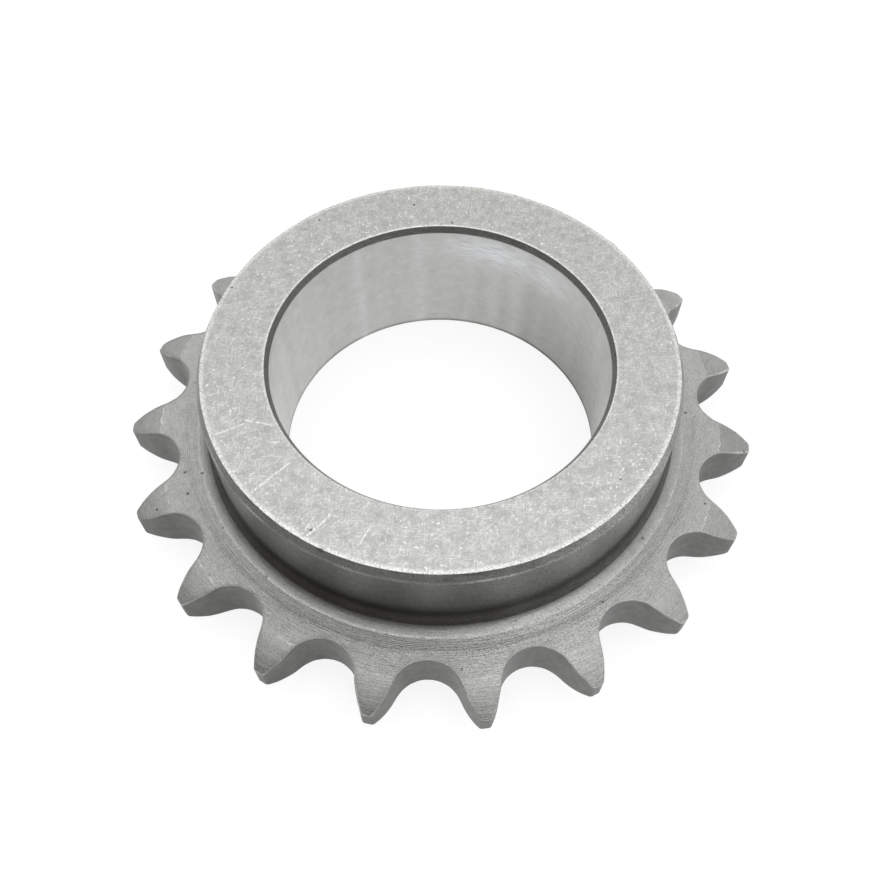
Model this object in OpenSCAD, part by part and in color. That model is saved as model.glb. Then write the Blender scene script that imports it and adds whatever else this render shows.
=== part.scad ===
// Roller chain sprocket, one solid steel piece, with a large plain bore through a hub on one side.
// The origin is on the bore's axis, at the flat face that the part rests on, and +Z runs to the hub.
// The middle of one tooth lies on +X.

/* [Chain] */
// Pitch of the roller chain
chain_pitch = 12.7; // [12.4:0.1:14]
// Diameter of the chain's rollers
roller_d = 7.92; // [6.4:0.01:8.3]
// Clearance all round between a roller and its seat
seat_clearance = 0.22; // [0.05:0.01:0.35]

/* [Teeth] */
// Number of teeth
teeth = 19; // [19:1:40]
// Angle of the arc on which a roller seats, in degrees
seating_angle = 135; // [128:1:140]
// Radius of the rounded flanks above the seats
flank_r = 12; // [10:0.5:18]
// Height of the tips above the pitch circle
tip_h = 2.42; // [1.2:0.01:2.8]
// Rounding at the two corners of each tip
tip_round = 0.5; // [0.2:0.1:0.6]
// Width of the toothed plate, along the axis
plate_w = 7.2; // [5:0.1:9]

/* [Tooth bevel] */
// Radius of the arc that bevels both sides of the teeth
bevel_r = 12.7; // [9:0.1:20]
// How far the bevel lowers each side of a tip
bevel_h = 1.85; // [0.8:0.05:2.2]
// How far the bevel reaches inwards from the tips
bevel_len = 4.3; // [3:0.1:5]

/* [Hub] */
// Outer diameter of the hub
hub_d = 59.6; // [50:0.1:61]
// How far the hub stands out of the plate
hub_h = 12; // [6:0.5:30]
// Radius of the cove between the hub and the plate
hub_cove_r = 2.1; // [1:0.1:4.5]
// Width of the chamfer round the hub's face, along the radius
hub_chamfer_w = 0.6; // [0.2:0.1:2]
// Height of the chamfer round the hub's face, along the axis
hub_chamfer_h = 1.2; // [0.4:0.1:2.4]

/* [Bore] */
// Diameter of the bore
bore_d = 42; // [20:0.1:50]
// Width of the chamfer at the bore's mouth, along the radius
mouth_chamfer_w = 0.5; // [0.2:0.1:2]
// Height of the chamfer at the bore's mouth, along the axis
mouth_chamfer_h = 0.87; // [0.3:0.01:3]

/* [Hidden] */
$fn = 144;
steel = "silver";
// Cutters reach this far past the faces they cut through
past = 1;
total_h = plate_w + hub_h;
hub_r = hub_d / 2;
bore_r = bore_d / 2;
tooth_angle = 360 / teeth;
pitch_r = chain_pitch / 2 / sin(tooth_angle / 2);
tip_r = pitch_r + tip_h;
seat_r = roller_d / 2 + seat_clearance;

// Seat and flank of one gap, with the gap's middle on +X
// Way from the seat's centre to the end of its arc, where the flank starts
seat_end_dir = [-cos(seating_angle / 2), sin(seating_angle / 2)];
seat_centre = [pitch_r, 0];
seat_end = seat_centre + seat_r * seat_end_dir;
flank_centre = seat_centre + (seat_r + flank_r) * seat_end_dir;
// The tip's rounding touches the flank and the tip circle from inside
round_centre_r = tip_r - tip_round;
round_centre = circles_meet(round_centre_r, flank_centre, flank_r - tip_round);
flank_end = flank_centre + flank_r * unit(round_centre - flank_centre);
tip_start = tip_r * unit(round_centre);
outside = (tip_r + past) * unit(round_centre);

// Centre of the bevel's arc, in the plane of the section: the arc runs from the face to the tip
bevel_start = [tip_r - bevel_len, 0];
bevel_chord = [bevel_len, -bevel_h];
bevel_centre = bevel_start + bevel_chord / 2
    - sqrt(bevel_r ^ 2 - bevel_chord * bevel_chord / 4) * unit([bevel_h, bevel_len]);

function unit(v) = v / norm(v);

// Point where a circle of radius r round the origin meets the circle (centre, s), on its lower side
function circles_meet(r, centre, s) =
    let (
        d = norm(centre),
        turn = atan2(centre[1], centre[0]) - acos((d ^ 2 + r ^ 2 - s ^ 2) / (2 * d * r))
    )
    r * [cos(turn), sin(turn)];

function mirrored(v) = [v[0], -v[1]];

// One gap between two teeth: the roller's seat, and the room between the flanks
module gap_outline() {
    translate(seat_centre) circle(seat_r);
    difference() {
        polygon([
            mirrored(seat_end), mirrored(flank_end), mirrored(tip_start), mirrored(outside),
            outside, tip_start, flank_end, seat_end
        ]);
        for (side = [1, -1]) {
            translate([flank_centre[0], side * flank_centre[1]]) circle(flank_r);
            translate([round_centre[0], side * round_centre[1]]) circle(tip_round);
        }
    }
}

module gaps() {
    for (k = [0 : teeth - 1])
        rotate((k + 0.5) * tooth_angle)
            translate([0, 0, -past])
                linear_extrude(plate_w + 2 * past)
                    gap_outline();
}

// What the bevel takes off above a face at height 0, as a section
module bevel_waste() {
    difference() {
        translate([bevel_start[0], -bevel_h]) square([bevel_len + past, bevel_h + past]);
        translate(bevel_centre) circle(bevel_r);
    }
}

// Concave cove that fills the corner at the hub's foot
module cove() {
    difference() {
        translate([hub_r, plate_w]) square(hub_cove_r);
        translate([hub_r + hub_cove_r, plate_w + hub_cove_r]) circle(hub_cove_r);
    }
}

// Half section of the turned blank, before the gaps are cut
module blank_section() {
    difference() {
        union() {
            translate([bore_r, 0]) square([tip_r - bore_r, plate_w]);
            translate([bore_r, 0])
                polygon([
                    [0, 0],
                    [hub_r - bore_r, 0],
                    [hub_r - bore_r, total_h - hub_chamfer_h],
                    [hub_r - bore_r - hub_chamfer_w, total_h],
                    [mouth_chamfer_w, total_h],
                    [0, total_h - mouth_chamfer_h]
                ]);
            cove();
        }
        translate([0, plate_w]) bevel_waste();
        mirror([0, 1]) bevel_waste();
    }
}

module sprocket() {
    color(steel)
        difference() {
            rotate_extrude() blank_section();
            gaps();
        }
}

sprocket();
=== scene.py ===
"""Roller chain sprocket of bare machined steel, on a white floor in soft studio light.

The sprocket is one closed mesh in place of the CAD node. It is a grid: each row is one line round the
axis, and the rows follow the section from the bore over the flat face, the teeth and the hub back to
the bore. Every row has a point at each column, and the columns follow the outline of the teeth.

Lengths are in millimetres until MM turns them into metres, and angles are in degrees. Each point has
one value for wear and painted light: above 0 the steel is rubbed bright or has a painted sheen, and
below 0 it is dirty or has painted shade.
"""

import math

import bpy
import numpy as np
from mathutils import Matrix


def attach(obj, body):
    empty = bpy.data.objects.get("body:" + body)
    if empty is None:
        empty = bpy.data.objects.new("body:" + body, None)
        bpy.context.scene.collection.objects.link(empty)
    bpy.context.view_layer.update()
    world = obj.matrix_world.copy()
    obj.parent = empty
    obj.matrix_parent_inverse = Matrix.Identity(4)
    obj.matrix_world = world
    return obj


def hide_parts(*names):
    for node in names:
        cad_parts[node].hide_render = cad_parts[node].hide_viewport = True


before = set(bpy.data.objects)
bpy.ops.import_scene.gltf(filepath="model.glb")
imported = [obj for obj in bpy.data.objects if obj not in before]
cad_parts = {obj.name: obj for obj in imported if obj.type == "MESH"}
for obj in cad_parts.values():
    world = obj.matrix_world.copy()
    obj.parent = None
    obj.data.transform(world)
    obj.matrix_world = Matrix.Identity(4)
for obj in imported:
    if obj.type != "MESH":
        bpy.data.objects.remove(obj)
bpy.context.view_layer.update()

MM = 0.001
BODY = "root"
NODE = "sprocket"

# Sizes, as in the part's source
TEETH = 19
CHAIN_PITCH = 12.7
ROLLER_D = 7.92
SEAT_CLEARANCE = 0.22
SEATING_ANGLE = 135
FLANK_R = 12.0
TIP_H = 2.42
TIP_ROUND = 0.5
PLATE_W = 7.2
BEVEL_R = 12.7
BEVEL_H = 1.85
BEVEL_LEN = 4.3
HUB_R = 29.8
TOTAL_H = 19.2
HUB_CHAMFER_W = 0.6
HUB_CHAMFER_H = 1.2
BORE_R = 21.0
MOUTH_CHAMFER_W = 0.5
MOUTH_CHAMFER_H = 0.87

# Sizes that follow from them
TOOTH_ANGLE = 360 / TEETH
SEAT_R = ROLLER_D / 2 + SEAT_CLEARANCE
PITCH_R = CHAIN_PITCH / 2 / math.sin(math.radians(TOOTH_ANGLE / 2))
TIP_R = PITCH_R + TIP_H
BEVEL_START_R = TIP_R - BEVEL_LEN
CHAMFER_FOOT_Z = TOTAL_H - HUB_CHAMFER_H
MOUTH_Z = TOTAL_H - MOUTH_CHAMFER_H

# Points on each arc of the outline
SEAT_POINTS = 12
FLANK_POINTS = 9
CORNER_POINTS = 6
TIP_POINTS = 3

# Points that are the same to this many digits of a metre are merged
MERGE_DIGITS = 8


def unit(v):
    return v / np.linalg.norm(v)


def direction(degrees):
    """Unit vector at an angle, or one for each of several angles."""
    a = np.radians(degrees)
    return np.stack([np.cos(a), np.sin(a)], -1)


def turned(v, degrees):
    """v turned about the axis, for one vector or an array of them."""
    c, s = direction(degrees)
    return np.stack([v[..., 0] * c - v[..., 1] * s, v[..., 0] * s + v[..., 1] * c], -1)


def arc(centre, radius, start, end, count):
    """Points on an arc between two angles, and the directions from its centre."""
    out = direction(np.linspace(start, end, count))
    return centre + radius * out, out


def angle_of(v):
    return math.degrees(math.atan2(v[1], v[0]))


def between(start, end, share):
    """The value at a share of the way from start to end."""
    return start + (end - start) * share


def half_gap():
    """Outline from the middle of a gap, on +X, to the middle of the next tooth.

    Returns the points and the directions that point out of the metal there.
    """
    seat_end_angle = 180 - SEATING_ANGLE / 2
    seat_end_dir = direction(seat_end_angle)
    seat_centre = np.array([PITCH_R, 0.0])
    flank_centre = seat_centre + (SEAT_R + FLANK_R) * seat_end_dir
    round_r = TIP_R - TIP_ROUND
    reach = FLANK_R - TIP_ROUND
    d = np.linalg.norm(flank_centre)
    swing = math.degrees(math.acos((d ** 2 + round_r ** 2 - reach ** 2) / (2 * d * round_r)))
    round_angle = angle_of(flank_centre) - swing
    round_centre = round_r * direction(round_angle)
    flank_start_angle = angle_of(-seat_end_dir)
    flank_end_angle = angle_of(round_centre - flank_centre)

    seat, seat_out = arc(seat_centre, SEAT_R, 180, seat_end_angle, SEAT_POINTS)
    flank, flank_out = arc(flank_centre, FLANK_R, flank_start_angle, flank_end_angle, FLANK_POINTS)
    corner, corner_out = arc(round_centre, TIP_ROUND, flank_end_angle, round_angle, CORNER_POINTS)
    tip, tip_out = arc(np.zeros(2), TIP_R, round_angle, TOOTH_ANGLE / 2, TIP_POINTS)
    points = np.concatenate([seat, flank[1:], corner[1:], tip[1:]])
    outs = np.concatenate([-seat_out, flank_out[1:], corner_out[1:], tip_out[1:]])
    return points, outs


def all_round(half):
    """Vectors of a half gap, mirrored to one gap and one tooth and repeated for every tooth."""
    back = turned(half[-2:0:-1] * np.array([1.0, -1.0]), TOOTH_ANGLE)
    one = np.concatenate([half, back])
    return np.concatenate([turned(one, (k + 0.5) * TOOTH_ANGLE) for k in range(TEETH)])


OUTLINE, OUTWARD = (all_round(half) for half in half_gap())
OUTLINE_R = np.hypot(*OUTLINE.T)
COLUMNS = len(OUTLINE)
ANGLE = np.unwrap(np.arctan2(OUTLINE[:, 1], OUTLINE[:, 0]))


def uneven(mean, swing, waves, seed):
    """Smooth random values round the part: a mean, and a swing of about that much on both sides.

    waves are the fewest and the most waves in one turn.
    """
    draw = np.random.default_rng(seed)
    turns = np.arange(waves[0], waves[1] + 1)
    size = draw.normal(size=len(turns)) / np.sqrt(len(turns))
    phase = draw.uniform(0, 2 * math.pi, len(turns))
    wander = (size[:, None] * np.cos(turns[:, None] * ANGLE[None, :] + phase[:, None])).sum(0)
    return mean + swing * wander


def patch(azimuth, width, strength=1.0):
    """strength at an azimuth, falling to 0 over a width on both sides."""
    away = (np.degrees(ANGLE) - azimuth + 180) % 360 - 180
    return strength * np.exp(-(away / width) ** 2)


# One entry for each row: its (COLUMNS, 3) points, the surface of the faces after it, and its wear and
# painted light
rows = []
row_zone = []
row_wear_and_light = []

# The surfaces, in the order of the sprocket's materials
FACE, TURNED, WALL, CUT, BORE = range(5)


def add_row(xy, z, zone, wear_and_light=0.0):
    xyz = np.empty((COLUMNS, 3))
    xyz[:, :2] = xy
    xyz[:, 2] = z
    rows.append(xyz)
    row_zone.append(zone)
    row_wear_and_light.append(np.broadcast_to(np.asarray(wear_and_light, float), (COLUMNS,)))


def polar(radius, angle=ANGLE):
    return np.stack([radius * np.cos(angle), radius * np.sin(angle)], -1)


def add_ring(radius, z, zone, wear_and_light=0.0):
    add_row(polar(radius), z, zone, wear_and_light)


# The plate: a flat web, then a crease, then the bevel of the teeth, and their rounded edges
FLAT_SIDE = -1
HUB_SIDE = 1
CREASE_SHIFT = 0.10     # how far the crease of the bevel strays
CREASE_REACH = 1.0      # how far onto the bevel its strays reach
EDGE_ROUND = 0.10       # rounding of the teeth's edges
EDGE_HOLD = 0.24        # inset of the row that keeps the faces flat up to the rounding
EDGE_TURNS = (0, 30, 60, 90)
RELIEF_R = 33.35        # outer edge of the shallow ring that the tool left round the cove
RELIEF_DEPTH = 0.03
RELIEF_SLOPE = 0.12
RELIEF_Z = PLATE_W - RELIEF_DEPTH
BREAK_W = 0.12          # broken lower edge of the bore, with a point in its middle
BREAK_H = 0.06
BREAK_MIDDLE_W = 0.05
BREAK_MIDDLE_H = 0.02
FLAT_RADII = (25.0, 29.5)

# Shares of the way from the ring to the crease, with one row more on the hub's side, from the crease
# to the rim, and up the wall of a gap
FLAT_WEB_SHARES = (0.5, 0.8, 0.97, 1.0)
HUB_WEB_SHARES = (0.25, *FLAT_WEB_SHARES)
BEVEL_SHARES = (0.03, 0.2, 0.45, 0.75, 1.0)
GAP_SHARES = (0.06, 0.3, 0.5, 0.7, 0.94)

# Wear of the bevel and of the rounded edges, outside the pitch circle and inside it
BEVEL_DIRT = -0.07
TOOTH_EDGE_WEAR = 0.55
SEAT_EDGE_WEAR = 0.1

# Painted shade on a gap's wall, at its foot and at its top, for 1 of the gaps' painted shade
GAP_FOOT_SHADE = 2.0
GAP_TOP_SHADE = 0.6

# Share of the ring's painted sheen that its slope has
RELIEF_SLOPE_SHEEN = 0.5

crease_shift = uneven(mean=0, swing=CREASE_SHIFT, waves=(15, 240), seed=5)
crease_wear = np.clip(uneven(mean=0.2, swing=0.8, waves=(5, 120), seed=6), 0, 1)
edge_round = EDGE_ROUND * uneven(mean=1, swing=0.35, waves=(20, 300), seed=3)
edge_wear_and_shade = np.where(OUTLINE_R > PITCH_R, TOOTH_EDGE_WEAR, SEAT_EDGE_WEAR)
edge_wear_and_shade = edge_wear_and_shade * uneven(mean=0.6, swing=0.4, waves=(5, 90), seed=4)
# Painted shade: the teeth's rounded edges are darker round one azimuth
edge_wear_and_shade = edge_wear_and_shade - patch(azimuth=195, width=50, strength=0.5)

# Painted sheen and painted shade on the plate and on the hub's wall
# Painted sheen on the web round one azimuth
web_sheen = patch(azimuth=297, width=18, strength=0.25)
# Painted highlight on the relief ring round one azimuth
ring_sheen = patch(azimuth=277, width=24, strength=0.5)
# Painted sheen on the hub's wall, in two patches round the axis
wall_sheen = patch(azimuth=325, width=29, strength=0.32) + patch(azimuth=210, width=13, strength=0.14)
# Painted shade on the gaps' walls round one azimuth
gap_shade = patch(azimuth=246, width=34, strength=0.4)
# Painted shade on the teeth's tips, at two azimuths
tip_shade = gap_shade + patch(azimuth=172, width=20, strength=0.35)
# Painted shade and a painted highlight on the bevel
bevel_shade = patch(azimuth=2, width=15, strength=0.2)
bevel_highlight = patch(azimuth=32, width=9, strength=0.1)
# The bevel's dirt, with the web's painted sheen and the bevel's painted shade and highlight
bevel_dirt_and_light = web_sheen + BEVEL_DIRT - bevel_shade + bevel_highlight


def in_order(lines, side):
    """Rows of a side as they follow each other: outwards on the flat side, inwards on the hub's."""
    return lines if side == FLAT_SIDE else lines[::-1]


def bevel_drop(radius):
    """How far the bevel lowers the plate's face at a radius."""
    chord = np.array([BEVEL_LEN, -BEVEL_H])
    middle = np.array([BEVEL_START_R, 0.0]) + chord / 2
    back = math.sqrt(BEVEL_R ** 2 - chord @ chord / 4)
    centre = middle - back * unit(np.array([BEVEL_H, BEVEL_LEN]))
    height = centre[1] + np.sqrt(np.maximum(BEVEL_R ** 2 - (radius - centre[0]) ** 2, 0))
    return np.where(radius > BEVEL_START_R, -height, 0.0)


def face_z(radius, side):
    """Height of the plate's face on a side, with the crease where it strays to."""
    near = np.clip(1 - (radius - BEVEL_START_R) / CREASE_REACH, 0, 1)
    drop = bevel_drop(radius - crease_shift * near)
    return PLATE_W - drop if side == HUB_SIDE else drop


def inset(amount):
    """The outline moved into the metal."""
    return OUTLINE - np.asarray(amount)[..., None] * OUTWARD


def add_tooth_face(side, web_shares):
    """Rows of one side of the plate between the relief ring and the teeth's edges.

    The rows before the crease and those on the bevel are spread apart, so the crease stays sharp.
    In a gap that ends before the crease, the bevel's rows fall together and are merged later.
    """
    rim = inset(EDGE_HOLD)
    rim_r = np.hypot(*rim.T)
    rim_turn = (np.arctan2(rim[:, 1], rim[:, 0]) - ANGLE + math.pi) % (2 * math.pi) - math.pi
    crease = np.minimum(rim_r, BEVEL_START_R + crease_shift)
    lines = []
    for share in web_shares:
        # The crease has its own wear, and the web's rows a painted sheen that grows towards the ring
        wear_and_light = crease_wear if share == 1.0 else web_sheen + ring_sheen * (1 - share) ** 2
        lines.append((between(RELIEF_R, crease, share), wear_and_light))
    for share in BEVEL_SHARES:
        # The bevel darkens towards the tips with painted shade
        lines.append((between(crease, rim_r, share), bevel_dirt_and_light - tip_shade * share ** 2))
    for r, wear_and_light in in_order(lines, side):
        lean = (r - RELIEF_R) / (rim_r - RELIEF_R)
        add_row(polar(r, ANGLE + rim_turn * lean), face_z(r, side), TURNED, wear_and_light)


def add_tooth_edge(side):
    """The rounded edge between a side of the plate and the gaps' walls."""
    for turn in in_order(EDGE_TURNS, side):
        c, s = direction(turn)
        xy = inset(edge_round * (1 - s))
        z = face_z(np.hypot(*xy.T), side) - side * edge_round * (1 - c)
        starts_wall = side == FLAT_SIDE and turn == EDGE_TURNS[-1]
        add_row(xy, z, CUT if starts_wall else TURNED, edge_wear_and_shade)


def add_flat_side():
    """The face that the part rests on, from the broken edge of the bore to the teeth."""
    add_ring(BORE_R + BREAK_MIDDLE_W, BREAK_MIDDLE_H, TURNED)
    for r in (BORE_R + BREAK_W, *FLAT_RADII, RELIEF_R):
        add_ring(r, 0.0, TURNED)
    add_tooth_face(FLAT_SIDE, FLAT_WEB_SHARES)
    add_tooth_edge(FLAT_SIDE)


def add_gap_walls():
    """The walls between the teeth, with painted shade that thins out upwards."""
    low = face_z(OUTLINE_R, FLAT_SIDE) + edge_round
    high = face_z(OUTLINE_R, HUB_SIDE) - edge_round
    for share in GAP_SHARES:
        painted_shade = gap_shade * between(GAP_FOOT_SHADE, GAP_TOP_SHADE, share)
        add_row(OUTLINE, between(low, high, share), CUT, -painted_shade)


def add_web():
    """The plate on the hub's side, from the teeth to the shallow ring round the cove."""
    add_tooth_edge(HUB_SIDE)
    add_tooth_face(HUB_SIDE, HUB_WEB_SHARES)
    # The ring and its slope have painted sheen
    add_ring(RELIEF_R, PLATE_W, TURNED, web_sheen + ring_sheen)
    slope_sheen = web_sheen + RELIEF_SLOPE_SHEEN * ring_sheen
    add_ring(RELIEF_R - RELIEF_SLOPE, RELIEF_Z, TURNED, slope_sheen)


# The cove at the hub's foot. Its tilt is 0 where it would lie flat and 90 where it stands upright. It
# ends at the first of these tilts, so it meets the ring's floor in a faint crease.
COVE_R = 2.54
COVE_TILTS = (10, 12, 20, 28, 36, 45, 54, 63, 72, 81, 90)
COVE_CENTRE_R = HUB_R + COVE_R
COVE_CENTRE_Z = RELIEF_Z + COVE_R * math.cos(math.radians(COVE_TILTS[0]))
COVE_CREASE_TILT = 12       # the crease has a painted highlight up to this tilt
COVE_FOOT_TILT = 40         # the cove's foot has the web's painted sheen, below this tilt
COVE_ZONE_TILT = 45         # the wall's steel starts at this tilt
COVE_WALL_TILT = 50         # the cove has the wall's painted sheen, above this tilt
COVE_SHADE_TILT = 60         # painted shade fills the cove above this tilt and thins out below it
COVE_SHADE_SPREAD = 34
RING_CLEARANCES = (0.7, 0.1)  # from the cove to the rows of the ring's floor
RING_FLOOR_SHEEN = 2.4       # painted sheen of the ring's floor, for 1 of the web's painted sheen
COVE_FOOT_SHEEN = 2.0        # and of the cove's foot
COVE_CREASE_HIGHLIGHT = 0.09     # least painted highlight of the crease

# Painted shade in the cove's corner, uneven round the axis and deepest round one azimuth
cove_shade = uneven(mean=0.22, swing=0.1, waves=(3, 40), seed=13)
cove_shade = cove_shade + patch(azimuth=250, width=56, strength=0.75)
# Painted highlight along the cove's crease, strongest round one azimuth
cove_crease_highlight = COVE_CREASE_HIGHLIGHT + patch(azimuth=278, width=46, strength=0.405)


def cove_painted_light(tilt):
    """Painted highlight, painted sheen and painted shade of the cove at a tilt."""
    if tilt <= COVE_CREASE_TILT:
        return cove_crease_highlight
    below = max(0, COVE_SHADE_TILT - tilt) / COVE_SHADE_SPREAD
    painted_shade = cove_shade * math.exp(-below ** 2)
    if tilt < COVE_FOOT_TILT:
        return COVE_FOOT_SHEEN * web_sheen - painted_shade
    return wall_sheen - painted_shade if tilt > COVE_WALL_TILT else -painted_shade


def cove_point(tilt):
    """Radius and height of the cove at a tilt."""
    inwards, down = COVE_R * direction(90 - tilt)
    return COVE_CENTRE_R - inwards, COVE_CENTRE_Z - down


def add_cove():
    """The floor of the shallow ring and the cove, up to the hub's wall."""
    foot_r, foot_z = cove_point(COVE_TILTS[0])
    for clearance in RING_CLEARANCES:
        add_ring(foot_r + clearance, foot_z, TURNED, RING_FLOOR_SHEEN * web_sheen)
    for tilt in COVE_TILTS:
        zone = TURNED if tilt < COVE_ZONE_TILT else WALL
        add_ring(*cove_point(tilt), zone, cove_painted_light(tilt))


# The hub's wall. The foot of the chamfer above it is an uneven little ridge.
WALL_HEIGHTS = (11.5, 13.5, 15.5, 17.0, 17.7)
RIDGE_BELOW = 0.12          # from the ridge's lower row up to the chamfer's foot
RIDGE_ABOVE = 0.06          # and from there up to its upper row
RIDGE_STEP = 0.05
RIDGE_BELOW_GLINT = 0.5      # painted glint of its lower row, for 1 of the ridge's painted glint
ROLL_W = 0.62               # worn edge of the hub's face
ROLL_DROP = 0.03
CHAMFER_SHARES = (0.2, 0.6, 0.95)


def add_hub_wall():
    """The wall above the cove, the ridge and the chamfer."""
    foot = uneven(mean=CHAMFER_FOOT_Z, swing=0.05, waves=(8, 90), seed=11)
    # Painted glint along the ridge, uneven round the axis
    ridge_glint = np.clip(uneven(mean=0, swing=0.3, waves=(2, 30), seed=12), 0, 1)
    for z in WALL_HEIGHTS:
        add_ring(HUB_R, z, WALL, wall_sheen)
    ridge_r = HUB_R - RIDGE_STEP
    ridge_z = foot + RIDGE_ABOVE
    add_ring(HUB_R, foot - RIDGE_BELOW, WALL, RIDGE_BELOW_GLINT * ridge_glint + wall_sheen)
    add_ring(ridge_r, ridge_z, WALL, ridge_glint + wall_sheen)
    # The wall's painted sheen, and painted shade on the chamfer round one azimuth
    chamfer_sheen_and_shade = wall_sheen - patch(azimuth=250, width=50, strength=0.3)
    for share in CHAMFER_SHARES:
        r = between(ridge_r, HUB_R - HUB_CHAMFER_W, share)
        z = between(ridge_z, TOTAL_H - ROLL_DROP, share)
        add_ring(r, z, WALL, chamfer_sheen_and_shade)


# The hub's face. A worn edge has the share 0 at its chamfer and 1 on the face.
ROLL_SHARES = (0.0, 0.12, 0.35, 0.65, 1.0)
NOTCH_W = 0.28
NOTCH_DROP = 0.12
BUMP_W = 0.15
FACE_RADII = (28.0, 27.0, 26.0, 25.0, 24.0, 23.0, 22.3)
FACE_SEED = 40
FACE_DROP = 0.012           # the face lies a little below its edges
FACE_SWING = 0.008
MOUTH_ROLL_W = 0.30         # worn edge of the bore's mouth
MOUTH_ROLL_DROP = 0.04
MOUTH_ROLL_SHARES = (1.0, 0.5, 0.15, 0.0)
NICK_W = 0.22
NICK_DROP = 0.05
MOUTH_SHARES = (0.08, 0.5, 0.92)
MOUTH_DIRT = -0.7


def add_face_edge():
    """The worn outer edge of the hub's face, with its burrs, the notch and the bump."""
    burrs = uneven(mean=0, swing=0.008, waves=(40, 240), seed=21)
    swell = uneven(mean=0, swing=0.02, waves=(3, 30), seed=22)
    notch = patch(azimuth=250.9, width=0.45)
    bump = patch(azimuth=45.6, width=1.2)
    shift = burrs + swell - NOTCH_W * notch + BUMP_W * bump
    for share in ROLL_SHARES:
        rough = 1 - share
        r = HUB_R - HUB_CHAMFER_W - ROLL_W * share + rough * shift
        z = TOTAL_H - ROLL_DROP * rough ** 2 - NOTCH_DROP * notch * rough
        add_ring(r, z, FACE, math.sqrt(rough))


def add_face():
    """The flat of the hub's face, which is a little uneven."""
    for k, r in enumerate(FACE_RADII):
        z = uneven(mean=TOTAL_H - FACE_DROP, swing=FACE_SWING, waves=(2, 40), seed=FACE_SEED + k)
        add_ring(r, np.minimum(z, TOTAL_H), FACE)


def add_mouth():
    """The worn edge of the bore's mouth, with its burrs and the nick, and its dirty chamfer."""
    burrs = uneven(mean=0, swing=0.008, waves=(30, 240), seed=31)
    nick = patch(azimuth=19, width=0.5)
    edge_r = BORE_R + MOUTH_CHAMFER_W
    for share in MOUTH_ROLL_SHARES:
        rough = 1 - share
        r = edge_r + MOUTH_ROLL_W * share + rough * (burrs + NICK_W * nick)
        z = TOTAL_H - MOUTH_ROLL_DROP * rough ** 2 - NICK_DROP * nick * rough
        add_ring(r, z, FACE, rough)
    for share in MOUTH_SHARES:
        z = between(TOTAL_H - MOUTH_ROLL_DROP, MOUTH_Z, share)
        add_ring(between(edge_r, BORE_R, share), z, TURNED, MOUTH_DIRT)


# The bore's wall
BORE_HEIGHTS = (17.2, 16.0, 14.8, 13.4, 12.0, 10.0, 8.0, 6.0, 4.0, 2.0, 0.7, 0.3)
MOUTH_HOLD = 0.1            # depth of the row that keeps the wall straight up to the mouth
SCUFF_Z = 15.8              # height of the scuffed patches
SCUFF_SPREAD = 2.2
BORE_EDGE_H = 0.5           # painted contact shadow along the lower edge
BORE_EDGE_SHADOW = 0.6


def add_bore():
    """The bore's wall, with its two scuffed patches, some paler stripes along the axis, and painted
    shade low down.
    """
    scuffs = patch(azimuth=78, width=16) + patch(azimuth=54, width=9, strength=0.6)
    stripes = patch(azimuth=129, width=2, strength=0.25) + patch(azimuth=105, width=2.5, strength=0.2)
    stripes = stripes + uneven(mean=0, swing=0.05, waves=(4, 40), seed=33)
    # Painted shade, darker towards the bottom round one azimuth
    painted_shade = patch(azimuth=15, width=50, strength=0.85)
    for z in (MOUTH_Z, MOUTH_Z - MOUTH_HOLD, *BORE_HEIGHTS, BREAK_H):
        scuffed = scuffs * math.exp(-((z - SCUFF_Z) / SCUFF_SPREAD) ** 2)
        # Painted contact shadow along the lower edge
        edge_shadow = BORE_EDGE_SHADOW if z < BORE_EDGE_H else 0.0
        add_ring(BORE_R, z, BORE, scuffed + stripes - painted_shade * (1 - z / MOUTH_Z) - edge_shadow)


add_flat_side()
add_gap_walls()
add_web()
add_cove()
add_hub_wall()
add_face_edge()
add_face()
add_mouth()
add_bore()


def build_mesh():
    """Joins the rows into one closed mesh, merging the points that fall together."""
    grid = np.array(rows) * MM
    count = len(grid)
    flat = grid.reshape(-1, 3)
    rounded = np.round(flat, MERGE_DIGITS)
    _, first, same = np.unique(rounded, axis=0, return_index=True, return_inverse=True)
    row = same.reshape(count, COLUMNS)
    next_row = np.roll(row, -1, axis=0)
    quads = np.stack([row, np.roll(row, -1, axis=1), np.roll(next_row, -1, axis=1), next_row], -1)
    zones = np.repeat(row_zone, COLUMNS)
    faces, face_zones = [], []
    for quad, zone in zip(quads.reshape(-1, 4).tolist(), zones.tolist()):
        corners = [v for i, v in enumerate(quad) if v != quad[i - 1]]
        if len(corners) > 2:
            faces.append(corners)
            face_zones.append(zone)
    mesh = bpy.data.meshes.new(NODE)
    mesh.from_pydata(flat[first].tolist(), [], faces)
    mesh.polygons.foreach_set("material_index", face_zones)
    mesh.polygons.foreach_set("use_smooth", [True] * len(faces))
    wear_and_light = mesh.attributes.new("wear_and_light", "FLOAT", "POINT")
    wear_and_light.data.foreach_set("value", np.array(row_wear_and_light).reshape(-1)[first].astype(np.float32))
    mesh.validate()
    mesh.update()
    return mesh


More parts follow.
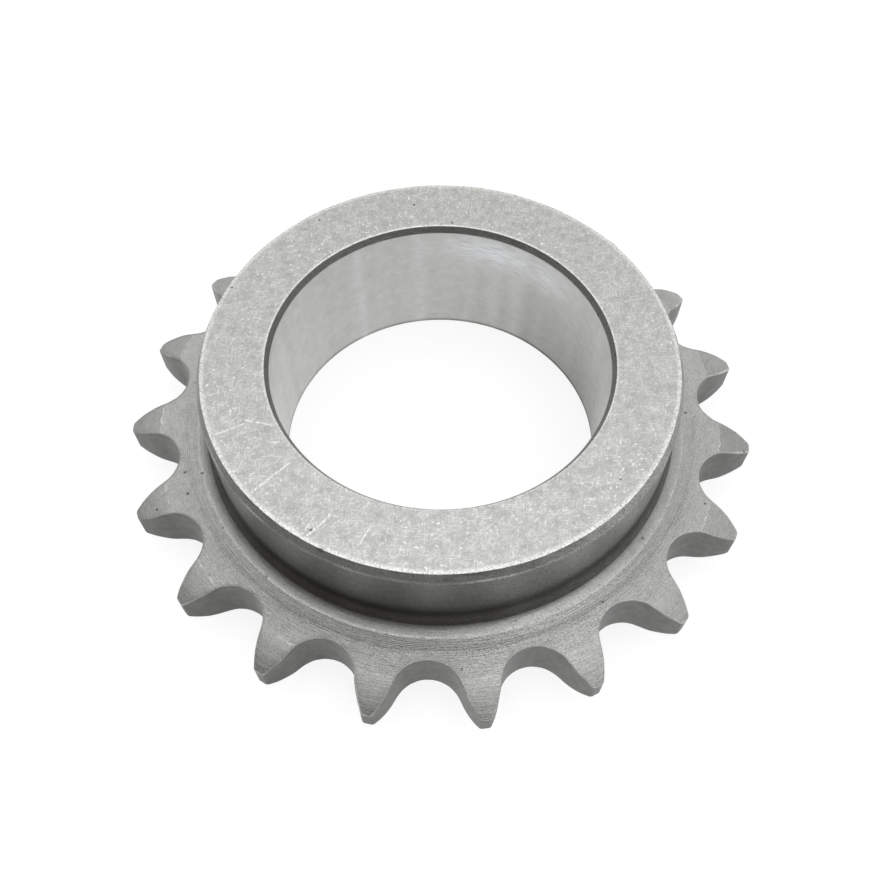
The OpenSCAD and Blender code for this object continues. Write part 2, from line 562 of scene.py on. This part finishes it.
class Nodes:
    """Short ways to add nodes to one tree. A value that is a socket is linked, any other is set."""

    def __init__(self, tree):
        self.tree = tree
        tree.nodes.clear()

    def fill(self, socket, value):
        if isinstance(value, bpy.types.NodeSocket):
            self.tree.links.new(value, socket)
        else:
            socket.default_value = value

    def add(self, kind, values=None, **settings):
        node = self.tree.nodes.new(kind)
        for name, value in settings.items():
            setattr(node, name, value)
        for key, value in (values or {}).items():
            self.fill(node.inputs[key], value)
        return node

    def math(self, operation, a, b):
        return self.add("ShaderNodeMath", {0: a, 1: b}, operation=operation).outputs[0]

    def plus(self, a, b):
        return self.math("ADD", a, b)

    def minus(self, a, b):
        return self.math("SUBTRACT", a, b)

    def times(self, a, b):
        return self.math("MULTIPLY", a, b)

    def larger(self, a, b):
        return self.math("MAXIMUM", a, b)

    def smaller(self, a, b):
        return self.math("MINIMUM", a, b)

    def vector(self, operation, a, b=(0, 0, 0)):
        return self.add("ShaderNodeVectorMath", {0: a, 1: b}, operation=operation).outputs["Vector"]

    def scaled(self, a, factor):
        values = {0: a, "Scale": factor}
        return self.add("ShaderNodeVectorMath", values, operation="SCALE").outputs["Vector"]

    def dot(self, a, b):
        return self.add("ShaderNodeVectorMath", {0: a, 1: b}, operation="DOT_PRODUCT").outputs["Value"]

    def length(self, a):
        return self.add("ShaderNodeVectorMath", {0: a}, operation="LENGTH").outputs["Value"]

    def split(self, vector):
        return self.add("ShaderNodeSeparateXYZ", {0: vector}).outputs

    def join(self, x, y, z):
        return self.add("ShaderNodeCombineXYZ", {0: x, 1: y, 2: z}).outputs[0]

    def noise(self, vector, scale, detail, roughness=0.5):
        values = {"Vector": vector, "Scale": scale, "Detail": detail, "Roughness": roughness}
        return self.add("ShaderNodeTexNoise", values).outputs[0]

    def centred(self, value, amount):
        """value from 0..1 to half of amount on both sides of 0."""
        return self.times(self.minus(value, 0.5), amount)

    def ramp(self, value, low, high, to_low=0.0, to_high=1.0):
        """value from low..high to to_low..to_high, smooth at both ends."""
        values = {"Value": value, "From Min": low, "From Max": high, "To Min": to_low, "To Max": to_high}
        return self.add("ShaderNodeMapRange", values, interpolation_type="SMOOTHSTEP").outputs[0]

    def mix_color(self, factor, a, b):
        """Colour a where the factor is 0, and b where it is 1."""
        node = self.add("ShaderNodeMix", {0: factor}, data_type="RGBA")
        colours = [socket for socket in node.inputs if socket.type == "RGBA"]
        self.fill(colours[0], a)
        self.fill(colours[1], b)
        return next(socket for socket in node.outputs if socket.type == "RGBA")


def new_material(name):
    """A material and its emptied nodes."""
    material = bpy.data.materials.new(name)
    material.use_nodes = True
    return material, Nodes(material.node_tree)


STEEL_TINT = (1.0, 1.0, 0.975)
BRIGHT_STEEL = (0.90, 0.90, 0.88, 1)
BLUE_STEEL = (0.70, 0.72, 0.755, 1)
DIRT_AND_SHADE = (0.05, 0.045, 0.04, 1)
DIRT_AND_SHADE_COVER = 0.8            # how much of the steel the dark colour of dirt and painted shade hides where the value is -1
ROUGHNESS_SWING = -0.15     # light patches are smoother, and dark ones rougher
BUMP_DEPTH = 0.02
QUARTER_TURN = 0.25         # turns the stretch of the reflections by 90 degrees

# Turning marks: how many there are along the section, and how often they break off round the axis
MARKS_PER_MM = 9.0
MARK_LENGTHS = 9.0

PITS_PER_MM = 0.9
PIT_R = 0.22
PIT_FLOOR_R = PIT_R / 2
PIT_DARKNESS = 0.75

# The longer scratches on the hub's face, each from one point to another
SCRATCHES = (
    ((-24.5, -14.8), (-21.4, -12.9)),
    ((-21.4, -12.4), (-18.2, -12.7)),
    ((-18.5, -21.7), (-15.2, -17.5)),
    ((-11.3, -26.2), (-9.3, -23.5)),
    ((-11.9, -26.1), (-11.0, -23.8)),
    ((-5.5, -26.4), (-4.8, -24.6)),
    ((-18.0, -15.1), (-16.8, -14.8)),
)
SCRATCH_W = 0.20
LINE_DEPTH = 0.5

# Hatching of fine scratches: its directions, and its noise along and across them
HATCH_ANGLES = (5, 50, 97)
HATCH_ALONG = 0.8
HATCH_ACROSS = 6.5
HATCH_STRENGTH = 0.45


def scratches(n, across):
    """1 on the longer scratches and 0 beside them."""
    total = 0.0
    for start, end in SCRATCHES:
        run = np.subtract(end, start)
        away = n.vector("SUBTRACT", across, (*start, 0))
        along = n.dot(away, (*(run / (run @ run)), 0))
        share = n.larger(n.smaller(along, 1.0), 0.0)
        gap = n.length(n.vector("SUBTRACT", away, n.scaled((*run, 0), share)))
        total = n.larger(n.ramp(gap, 0.0, SCRATCH_W, to_low=1.0, to_high=0.0), total)
    return total


def hatching(n, across):
    """Fine broken scratches in a few directions, from 0 to 1."""
    total = 0.0
    for angle in HATCH_ANGLES:
        c, s = direction(angle)
        along = n.times(n.dot(across, (c, s, 0)), HATCH_ALONG)
        over = n.times(n.dot(across, (-s, c, 0)), HATCH_ACROSS)
        line = n.noise(n.join(along, over, angle), scale=1.0, detail=1.0)
        total = n.larger(n.ramp(line, low=0.58, high=0.72), total)
    return total


def face_lines(n, place, across, patches, specks):
    """The scratches, the hatching and the flecks of a marked face, from 0 to 1."""
    regions = n.ramp(n.noise(place, scale=0.07, detail=1.0), low=0.40, high=0.60, to_low=0.45)
    flecks = n.ramp(n.noise(place, scale=2.2, detail=3.0, roughness=0.6), low=0.59, high=0.73)
    fine = n.times(hatching(n, across), n.ramp(patches, low=0.30, high=0.55))
    lines = n.times(scratches(n, across), n.ramp(specks, low=0.40, high=0.58))
    lines = n.larger(lines, n.times(fine, HATCH_STRENGTH))
    return n.larger(lines, n.times(flecks, regions))


def turning_marks(n, across, height):
    """Noise drawn out round the axis. Its marks follow one another along the radius and the height."""
    depth = n.times(n.plus(n.length(across), height), MARKS_PER_MM)
    ring = n.scaled(n.vector("NORMALIZE", across), MARK_LENGTHS)
    return n.noise(n.vector("ADD", ring, n.join(0.0, 0.0, depth)), scale=1.0, detail=3.0, roughness=0.65)


def pits(n, place, share):
    """1 in the small pits that a share of the places has, and 0 elsewhere."""
    cells = n.add("ShaderNodeTexVoronoi", {"Vector": place, "Scale": PITS_PER_MM})
    chosen = n.math("LESS_THAN", n.split(cells.outputs["Color"])[0], share)
    deep = n.ramp(cells.outputs["Distance"], PIT_FLOOR_R, PIT_R, to_low=1.0, to_high=0.0)
    return n.times(deep, chosen)


def steel(name, level, roughness, mottle, grain, streak=0.0, groove=0.0, anisotropic=0.0,
          marked=False, pitted=0.0, scuff_and_sheen=BRIGHT_STEEL):
    """Bare steel of a mean level.

    mottle is the patchy light and dark, grain the fine speckle, streak the light and dark of the
    turning marks round the axis, and groove their depth. A marked face also has scratches, pitted is
    the share of spots with a pit, and the scuff colour is where the steel is rubbed bright or has a
    painted sheen.
    """
    material, n = new_material(name)
    place = n.scaled(n.add("ShaderNodeTexCoord").outputs["Object"], 1 / MM)
    x, y, z = n.split(place)
    across = n.join(x, y, 0.0)
    patches = n.noise(place, scale=0.8, detail=4.0, roughness=0.65)
    specks = n.noise(place, scale=4.2, detail=4.0, roughness=0.85)
    marks = turning_marks(n, across, z)
    change = n.plus(n.centred(marks, streak), n.centred(specks, grain))
    change = n.plus(n.centred(patches, mottle), change)
    strength = n.times(n.plus(change, 1.0), level)
    height = n.plus(n.times(specks, grain), n.times(marks, groove))

    # The point's value: above 0 wear or painted sheen, below 0 dirt or painted shade
    wear_and_light = n.add("ShaderNodeAttribute", attribute_name="wear_and_light").outputs["Fac"]
    broken = n.ramp(specks if marked or pitted else marks, low=0.35, high=0.6)
    wear_and_sheen = n.times(n.larger(wear_and_light, 0.0), broken)
    dirt_and_shade = n.times(n.larger(n.minus(0.0, wear_and_light), 0.0), DIRT_AND_SHADE_COVER)
    if marked:
        lines = face_lines(n, place, across, patches, specks)
        wear_and_sheen = n.larger(wear_and_sheen, lines)
        height = n.minus(height, n.times(lines, LINE_DEPTH))
    colour = n.vector("MULTIPLY", n.join(strength, strength, strength), STEEL_TINT)
    colour = n.mix_color(wear_and_sheen, colour, scuff_and_sheen)
    colour = n.mix_color(dirt_and_shade, colour, DIRT_AND_SHADE)
    if pitted:
        hole = pits(n, place, pitted)
        colour = n.mix_color(n.times(hole, PIT_DARKNESS), colour, DIRT_AND_SHADE)
        height = n.minus(height, hole)

    rough = n.plus(n.centred(patches, ROUGHNESS_SWING), roughness)
    bump = n.add("ShaderNodeBump", {"Height": height, "Distance": BUMP_DEPTH * MM, "Strength": 1.0})
    values = {"Base Color": colour, "Metallic": 1.0, "Roughness": rough, "Normal": bump.outputs[0]}
    if anisotropic:
        tangent = n.add("ShaderNodeTangent", direction_type="RADIAL", axis="Z")
        values["Anisotropic"] = anisotropic
        values["Anisotropic Rotation"] = QUARTER_TURN
        values["Tangent"] = tangent.outputs[0]
    shader = n.add("ShaderNodeBsdfPrincipled", values)
    n.add("ShaderNodeOutputMaterial", {"Surface": shader.outputs[0]})
    return material


sprocket = bpy.data.objects.new("steel_sprocket", build_mesh())
bpy.context.scene.collection.objects.link(sprocket)
materials = (
    steel("hub_face_steel", 0.465, roughness=0.40, mottle=0.5, grain=1.2, marked=True, pitted=0.018),
    steel("turned_steel", 0.415, roughness=0.38, mottle=0.3, grain=1.4, streak=0.3, groove=3.0,
          anisotropic=0.2, pitted=0.08),
    # The wall's steel is the turned steel at a far lower level: painted shade
    steel("shaded_wall_steel", 0.17, roughness=0.32, mottle=0.6, grain=2.2, streak=0.4, groove=0.3,
          anisotropic=0.4, pitted=0.02),
    # The cut steel's low level is partly the gap walls' own darker tone and partly painted shade
    steel("cut_steel", 0.145, roughness=0.42, mottle=0.6, grain=0.8),
    steel("bore_steel", 0.48, roughness=0.30, mottle=0.3, grain=0.2, streak=0.25, groove=0.2,
          anisotropic=0.3, scuff_and_sheen=BLUE_STEEL),
)
for material in materials:
    sprocket.data.materials.append(material)
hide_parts(NODE)
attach(sprocket, BODY)


def add_stage_mesh(name, points, faces, material):
    mesh = bpy.data.meshes.new(name)
    mesh.from_pydata(points, [], faces)
    mesh.materials.append(material)
    thing = bpy.data.objects.new(name, mesh)
    bpy.context.scene.collection.objects.link(thing)
    return thing


def seen_directly(n):
    """1 where the eye, a mirror or a glass shows the surroundings, and 0 where they only give light."""
    path = n.add("ShaderNodeLightPath")
    seen = n.larger(path.outputs["Is Camera Ray"], path.outputs["Is Glossy Ray"])
    return n.larger(seen, path.outputs["Is Transmission Ray"])


# The floor is matt, and what the eye and the metal see of it is lifted to white. Its half width and
# its gap under the part are in metres.
FLOOR_MATT = 0.42
FLOOR_LIFT = 0.80
FLOOR_HALF = 3.0
FLOOR_GAP = 0.00002


def white_floor():
    """A white material that keeps the object's soft shadow."""
    material, n = new_material("white_floor")
    matt = n.add("ShaderNodeBsdfDiffuse", {"Color": (FLOOR_MATT, FLOOR_MATT, FLOOR_MATT, 1)})
    lift = n.add("ShaderNodeEmission", {"Strength": n.times(seen_directly(n), FLOOR_LIFT)})
    both = n.add("ShaderNodeAddShader", {0: matt.outputs[0], 1: lift.outputs[0]})
    n.add("ShaderNodeOutputMaterial", {"Surface": both.outputs[0]})
    return material


def add_floor():
    sides = ((-1, -1), (1, -1), (1, 1), (-1, 1))
    corners = [(x * FLOOR_HALF, y * FLOOR_HALF, -FLOOR_GAP) for x, y in sides]
    add_stage_mesh("floor", corners, [(0, 1, 2, 3)], white_floor())


# Azimuth that the camera looks from, in the part's frame. The studio's azimuths count from there,
# to the right as the camera sees it: 90 is on its right, and 180 behind the part.
CAMERA_SIDE = 276.86


def studio(azimuth, elevation, distance):
    """Place in the part's frame, from a direction in the studio and a distance in metres."""
    out, up = distance * direction(elevation)
    x, y = out * direction(CAMERA_SIDE + azimuth)
    return (x, y, up)


# A dark card stands round the camera's side, from the floor up, this many metres off. It is tallest
# behind the camera. Its reach to both sides and its tops are angles, as seen from the part.
CARD_R = 0.6
CARD_MIDDLE = -18
CARD_REACH = 102
CARD_LOW_TOP = 10
CARD_RISE = 32
CARD_ROWS = 9
CARD_COLUMNS = 41

# It is nearly black up to the first elevation, and paler above it up to the second
CARD_DARK = 0.08
CARD_PALE = 0.50
CARD_DARK_TOP = 20
CARD_PALE_FOOT = 44


def card_material():
    """A glow that grows from the dark level to the pale one with the height over the floor."""
    material, n = new_material("dark_card")
    height = n.split(n.add("ShaderNodeTexCoord").outputs["Object"])[2]
    low, high = (CARD_R * math.sin(math.radians(e)) for e in (CARD_DARK_TOP, CARD_PALE_FOOT))
    glow = n.ramp(height, low, high, CARD_DARK, CARD_PALE)
    shade = n.add("ShaderNodeEmission", {"Strength": glow})
    n.add("ShaderNodeOutputMaterial", {"Surface": shade.outputs[0]})
    return material


def grid_faces(count_up, count_round):
    """Faces between the points of a grid, which are listed row by row."""
    faces = []
    for up in range(count_up - 1):
        start = up * count_round
        for first in range(start, start + count_round - 1):
            above = first + count_round
            faces.append((first, first + 1, above + 1, above))
    return faces


def add_card():
    swings = np.linspace(-CARD_REACH, CARD_REACH, CARD_COLUMNS)
    tops = CARD_LOW_TOP + CARD_RISE * np.cos(math.pi / 2 * swings / CARD_REACH) ** 2
    points = []
    for share in np.linspace(0, 1, CARD_ROWS):
        points += [studio(CARD_MIDDLE + swing, share * top, CARD_R) for swing, top in zip(swings, tops)]
    card = add_stage_mesh("dark_card", points, grid_faces(CARD_ROWS, CARD_COLUMNS), card_material())
    card.visible_camera = False
    card.visible_diffuse = False
    card.visible_shadow = False


LAMP_DISTANCE = 1.0


def soft_lamp(name, azimuth, elevation, half_angle, radiance):
    """A round lamp that faces the part.

    The metal mirrors its radiance on top of the surroundings, and 1 is white.
    """
    data = bpy.data.lights.new(name, "AREA")
    data.shape = "DISK"
    data.size = 2 * LAMP_DISTANCE * math.tan(math.radians(half_angle))
    area = math.pi * (data.size / 2) ** 2
    data.energy = radiance * math.pi * area
    lamp = bpy.data.objects.new(name, data)
    lamp.location = studio(azimuth, elevation, LAMP_DISTANCE)
    lamp.rotation_euler = lamp.location.to_track_quat("Z", "Y").to_euler()
    bpy.context.scene.collection.objects.link(lamp)


# The surroundings are white for the camera. SKY_SEEN is what the metal mirrors of them, and
# SKY_LIGHT the light that they give.
SKY_TINT = (1.0, 1.0, 0.99, 1)
SKY_SEEN = 0.90
SKY_LIGHT = 0.55


def add_world():
    world = bpy.data.worlds.new("studio")
    bpy.context.scene.world = world
    world.use_nodes = True
    n = Nodes(world.node_tree)
    level = n.plus(n.times(seen_directly(n), SKY_SEEN - SKY_LIGHT), SKY_LIGHT)
    backdrop = n.add("ShaderNodeLightPath").outputs["Is Camera Ray"]
    sky = n.add("ShaderNodeBackground", {"Color": SKY_TINT, "Strength": n.larger(level, backdrop)})
    n.add("ShaderNodeOutputWorld", {"Surface": sky.outputs[0]})


# The camera, fitted to the photo's circles and tooth tips
CAMERA_AT = (8.405, -69.87, 111.51)
CAMERA_DOWN = 58.0
CAMERA_HEADING = 6.667
CAMERA_ROLL = 0.269
FOCAL_PIXELS = 947.3
FRAME_PIXELS = 884
SENSOR = 36.0
CLIP_START = 5


def add_camera():
    data = bpy.data.cameras.new("camera")
    data.sensor_width = SENSOR
    data.lens = SENSOR * FOCAL_PIXELS / FRAME_PIXELS
    data.clip_start = CLIP_START * MM
    camera = bpy.data.objects.new("camera", data)
    camera.matrix_world = (Matrix.Translation([c * MM for c in CAMERA_AT])
                           @ Matrix.Rotation(math.radians(CAMERA_HEADING), 4, "Z")
                           @ Matrix.Rotation(math.radians(90 - CAMERA_DOWN), 4, "X")
                           @ Matrix.Rotation(math.radians(CAMERA_ROLL), 4, "Z"))
    bpy.context.scene.collection.objects.link(camera)
    bpy.context.scene.camera = camera


add_floor()
add_card()
soft_lamp("softbox_above", azimuth=180, elevation=78, half_angle=24, radiance=0.70)
soft_lamp("softbox_right", azimuth=75, elevation=52, half_angle=20, radiance=0.25)
add_world()
add_camera()
bpy.context.scene.view_settings.view_transform = "Standard"
